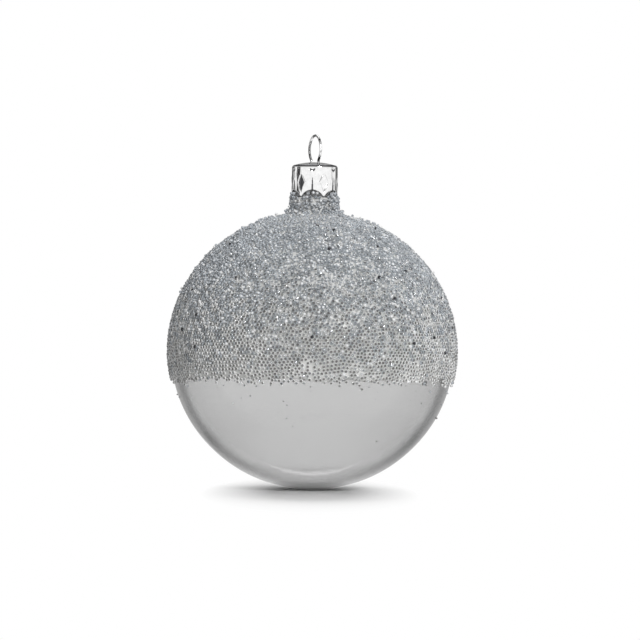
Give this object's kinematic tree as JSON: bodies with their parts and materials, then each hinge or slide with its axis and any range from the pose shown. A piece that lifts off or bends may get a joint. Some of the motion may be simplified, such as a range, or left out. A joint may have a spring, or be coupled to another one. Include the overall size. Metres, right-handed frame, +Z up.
{
  "type": "glass ball hanging ornament",
  "caption": "Blown clear glass ball whose upper part is coated with tiny glass beads, with a scalloped metal cap over its neck and a wire hanging loop.",
  "frame": {"origin": "centre of the round wire hanging loop", "axes": "+Z up along the ball's axis, out of the loop; the loop lies in the XZ plane and its hole runs along Y"},
  "size_m": [0.0824, 0.0824, 0.1004],
  "materials": {
    "clear_glass": "clear blown glass, smooth and glossy, faintly grey",
    "clear_glue": "thin clear glue, dried glossy",
    "glass_beads": "tiny clear and silvery glass beads",
    "silver_cap": "bright stamped metal with soft creases",
    "steel_wire": "bright drawn wire"
  },
  "bodies": {
    "ball": {"glass_ball": "clear_glass", "glue_film": "clear_glue", "bead_band": "glass_beads", "bead_dome": "glass_beads", "bead_collar": "glass_beads", "edge_beads": "glass_beads"},
    "cap": {"cap": "silver_cap"},
    "hanger": {"hanger_wire": "steel_wire"}
  },
  "joints": [
    {"name": "cap_pull", "type": "slide", "parent": "ball", "child": "cap", "axis": [0, 0, 1], "range_m": [0, 0.024]},
    {"name": "hanger_slide", "type": "slide", "parent": "cap", "child": "hanger", "axis": [0, 0, 1], "range_m": [0, 0.003]}
  ]
}
